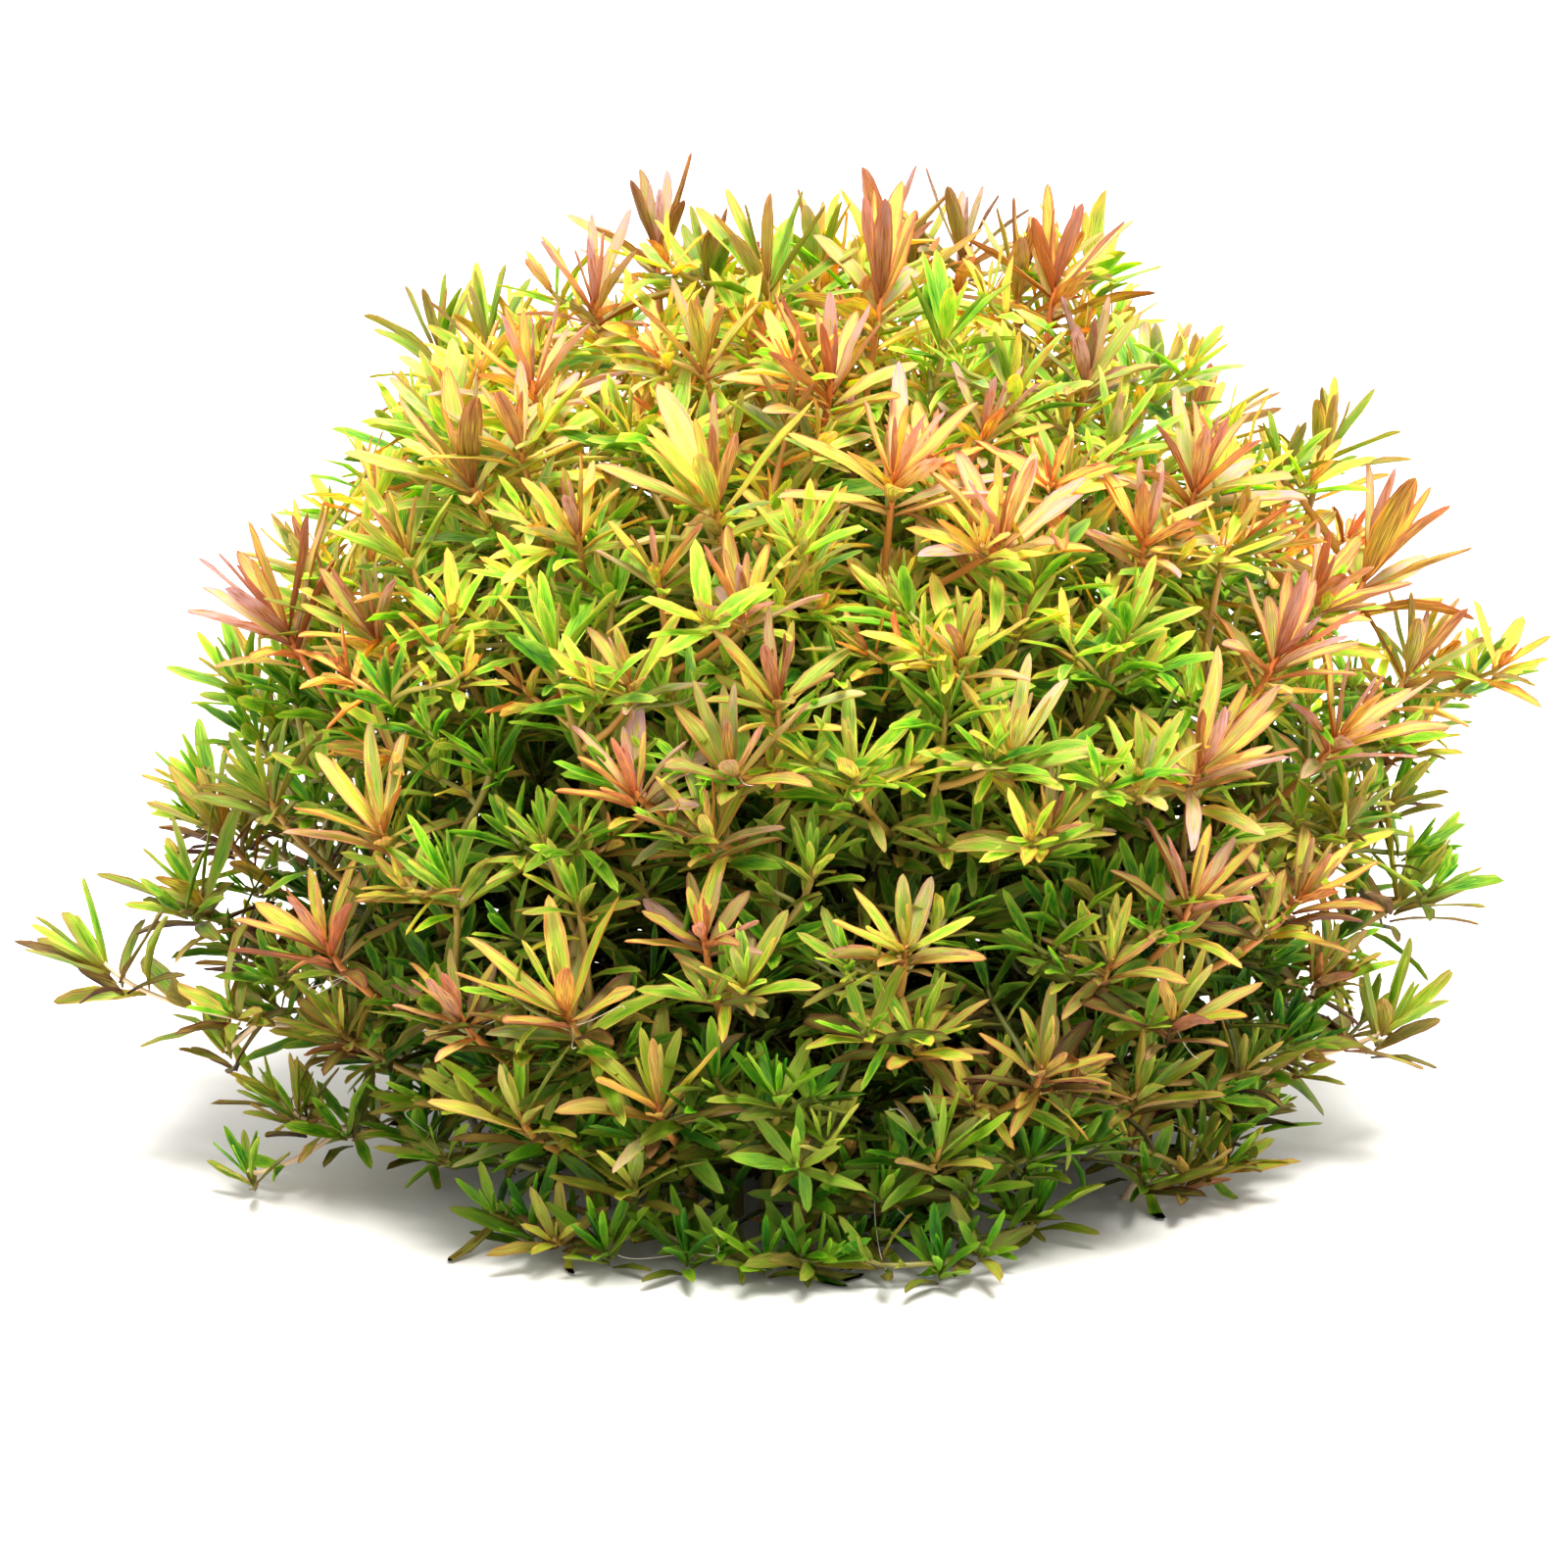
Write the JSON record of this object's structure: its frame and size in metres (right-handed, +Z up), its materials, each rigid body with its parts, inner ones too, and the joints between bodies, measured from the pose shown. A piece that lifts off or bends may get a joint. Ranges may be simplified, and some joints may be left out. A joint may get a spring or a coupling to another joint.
{
  "type": "rotala bush",
  "caption": "Mound of leafy rotala shoots with star shaped orange to green crowns on branching stems, each stem cut flat at the ground.",
  "frame": {"origin": "centre of the flat cut foot of the middle shoot, on the ground", "axes": "+Z up from the ground, +X to the right in the front view and along the bush's longest side, +Y away from the front"},
  "size_m": [0.2579, 0.2013, 0.1722],
  "materials": {
    "warm_leaves": "satin, thin translucent leaf, orange to yellow",
    "olive_leaves": "satin, thin translucent leaf, olive to orange",
    "green_leaves": "satin, thin translucent leaf, green"
  },
  "bodies": {
    "root": {"back_shoot_01": "olive_leaves", "back_shoot_02": "olive_leaves", "back_shoot_03": "olive_leaves", "back_shoot_04": "olive_leaves", "back_shoot_05": "olive_leaves", "back_shoot_06": "olive_leaves", "back_shoot_07": "olive_leaves", "back_shoot_08": "olive_leaves", "back_shoot_09": "olive_leaves", "back_shoot_10": "olive_leaves", "back_shoot_11": "olive_leaves", "back_shoot_12": "olive_leaves", "back_shoot_13": "olive_leaves", "back_shoot_14": "olive_leaves", "back_shoot_15": "olive_leaves", "back_shoot_16": "olive_leaves", "left_shoot_01": "olive_leaves", "left_shoot_02": "olive_leaves", "left_shoot_03": "olive_leaves", "left_shoot_04": "olive_leaves", "left_shoot_05": "olive_leaves", "left_shoot_06": "olive_leaves", "low_shoot_01": "green_leaves", "low_shoot_02": "green_leaves", "low_shoot_03": "green_leaves", "low_shoot_04": "green_leaves", "low_shoot_05": "green_leaves", "low_shoot_06": "green_leaves", "low_shoot_07": "green_leaves", "middle_shoot_01": "olive_leaves", "middle_shoot_02": "olive_leaves", "middle_shoot_03": "olive_leaves", "middle_shoot_04": "olive_leaves", "middle_shoot_05": "olive_leaves", "middle_shoot_06": "olive_leaves", "middle_shoot_07": "olive_leaves", "right_shoot_01": "olive_leaves", "right_shoot_02": "olive_leaves", "right_shoot_03": "olive_leaves", "right_shoot_04": "olive_leaves", "right_shoot_05": "olive_leaves", "right_shoot_06": "olive_leaves", "right_shoot_07": "olive_leaves", "top_shoot_01": "warm_leaves", "top_shoot_02": "warm_leaves", "top_shoot_03": "warm_leaves", "top_shoot_04": "warm_leaves", "top_shoot_05": "warm_leaves", "top_shoot_06": "warm_leaves", "top_shoot_07": "warm_leaves", "trailing_shoot_01": "green_leaves", "trailing_shoot_02": "green_leaves", "trailing_shoot_03": "green_leaves", "trailing_shoot_04": "green_leaves", "upper_shoot_01": "warm_leaves", "upper_shoot_02": "warm_leaves", "upper_shoot_03": "warm_leaves", "upper_shoot_04": "warm_leaves", "upper_shoot_05": "warm_leaves", "upper_shoot_06": "warm_leaves"}
  },
  "joints": []
}
